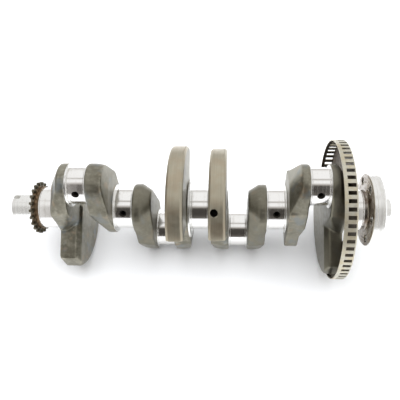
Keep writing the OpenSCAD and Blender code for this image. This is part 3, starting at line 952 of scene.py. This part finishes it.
flywheelFlange(flangeSet)
dowelPin(dowelSet)
print("flange turned")


# the camera looks down on the shaft, nearly square to it
viewSet = {"elevation": 57.0, "turn": -2.3, "lean": -0.4, "distance": 0.5685, "alongX": 0.0427,
           "lens": 43.2, "sensor": 36.0, "shiftX": -0.04375, "shiftY": 0.0215}


def makeCamera(s):
    e = math.radians(s["elevation"])
    turn = math.radians(s["turn"])
    lean = math.radians(s["lean"])
    ahead = Vector((0, math.cos(e), -math.sin(e)))
    right = Vector((1, 0, 0))
    place = Vector((s["alongX"], 0, 0)) - ahead * s["distance"]
    look = ahead * math.cos(turn) + right * math.sin(turn)
    side = right * math.cos(turn) - ahead * math.sin(turn)
    down = ahead.cross(right)
    sideways = side * math.cos(lean) + down * math.sin(lean)
    downward = down * math.cos(lean) - side * math.sin(lean)
    data = bpy.data.cameras.new("camera")
    data.lens = s["lens"]
    data.sensor_width = s["sensor"]
    data.shift_x = s["shiftX"]
    data.shift_y = s["shiftY"]
    cam = bpy.data.objects.new("camera", data)
    axes = Matrix((sideways, -downward, -look)).transposed().to_4x4()
    cam.matrix_world = Matrix.Translation(place) @ axes
    bpy.context.scene.collection.objects.link(cam)
    bpy.context.scene.camera = cam


makeCamera(viewSet)


# the floor leans a little, so that it touches the trigger wheel and the first counterweight
floorSet = {"colour": (0.925, 0.94, 0.965), "half": 4.0, "squares": 8, "below": 0.0003, "fibre": 6.0,
            "fibreShare": 0.985, "fibreDepth": 0.02, "rough": 0.75}


def makeFloor(s):
    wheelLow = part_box("trigger_wheel")[0]
    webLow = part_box("web_1")[0]
    webX = sum(alongShaft("web_1")[:2]) / 2 * mm
    lean = math.atan2(webLow.z - wheelLow.z, wheelLow.x - webX)
    bm = bmesh.new()
    bmesh.ops.create_grid(bm, x_segments=s["squares"], y_segments=s["squares"], size=s["half"])
    mesh = bpy.data.meshes.new("floor")
    bm.to_mesh(mesh)
    bm.free()
    floor = bpy.data.objects.new("floor", mesh)
    floor.rotation_euler = (0, lean, 0)
    floor.location = (wheelLow.x, 0, wheelLow.z - s["below"])
    bpy.context.scene.collection.objects.link(floor)
    paper = Finish("floorPaper", 0.0)
    fibre = paper.grain(paper.point(), s["fibre"], 3.0)
    paper.put("Base Color", paper.mix(fibre, s["colour"], tuple(v * s["fibreShare"] for v in s["colour"])))
    paper.put("Roughness", s["rough"])
    paper.bump(fibre, s["fibreDepth"])
    mesh.materials.append(paper.material)


makeFloor(floorSet)


# soft studio light: white all round but for the dim side in front of the bench
# room is the brightness against the angle above the front horizon: 90 is overhead, 180 behind
studioSet = {"room": [(-12, 0.50), (-2, 0.14), (24, 0.06), (56, 0.07), (66, 0.55), (74, 1.0), (88, 1.0),
                      (95, 0.42), (102, 1.0), (150, 1.05), (172, 0.78), (180, 0.60)],
             "tint": (0.93, 0.84, 0.75), "white": (1.0, 1.0, 1.0), "aside": (0.50, 0.92),
             "leftLevel": 0.28, "rightLevel": 0.9, "frontLeft": 0.31, "frontRight": 0.20,
             "openLevel": 0.92, "openBlend": 0.08, "openShare": 0.95,
             "strength": 1.0, "topEnergy": 27.0, "topSize": 1.8, "place": (0.05, 0.15, 1.15)}


def makeStudio(s):
    world = bpy.data.worlds.new("studio")
    world.use_nodes = True
    w = Nodes(world.node_tree)
    way = w.node("ShaderNodeTexCoord", output="Generated")
    up = w.axis(way, "Z")
    away = w.axis(way, "Y")
    height = w.node("ShaderNodeMath", {"operation": "ARCTAN2"}, {0: up, 1: 0.0 - away}) * math.degrees(1)
    stops = [((angle + 20) / 200, level) for angle, level in s["room"]]
    share = w.node("ShaderNodeMapRange", {}, {"Value": height, "From Min": -20.0, "From Max": 180.0})
    level = w.node("ShaderNodeValToRGB", {"stops": stops}, {"Fac": share})
    along = w.axis(way, "X")
    for side, start in ((0.0 - along, s["frontLeft"]), (along, s["frontRight"])):
        opened = w.step(side, start, start + s["openBlend"])
        level = level + (s["openLevel"] - level) * opened * s["openShare"]
    for side, end in ((0.0 - along, s["leftLevel"]), (along, s["rightLevel"])):
        aside = w.step(side, *s["aside"])
        level = level * (1.0 - aside) + end * aside
    shade = w.mix(level, tuple(0.0 for _ in s["white"]), s["white"])
    shade = w.node("ShaderNodeMix", {"data_type": "RGBA", "blend_type": "MULTIPLY"},
                   {0: 1.0 - level, 6: shade, 7: (*s["tint"], 1)}, 2)
    seen = w.node("ShaderNodeLightPath", output="Is Camera Ray")
    shade = w.mix(seen, shade, s["white"])
    back = world.node_tree.nodes["Background"]
    w.feed(back.inputs["Color"], shade)
    back.inputs["Strength"].default_value = s["strength"]
    bpy.context.scene.world = world
    light = bpy.data.lights.new("overhead", "AREA")
    light.energy = s["topEnergy"]
    light.size = s["topSize"]
    lamp = bpy.data.objects.new("overhead", light)
    lamp.location = s["place"]
    lamp.rotation_euler = (math.atan2(-s["place"][1], s["place"][2]), 0, 0)
    lamp.visible_glossy = False
    bpy.context.scene.collection.objects.link(lamp)


makeStudio(studioSet)
bpy.context.scene.view_settings.view_transform = "Standard"
print("studio lit")
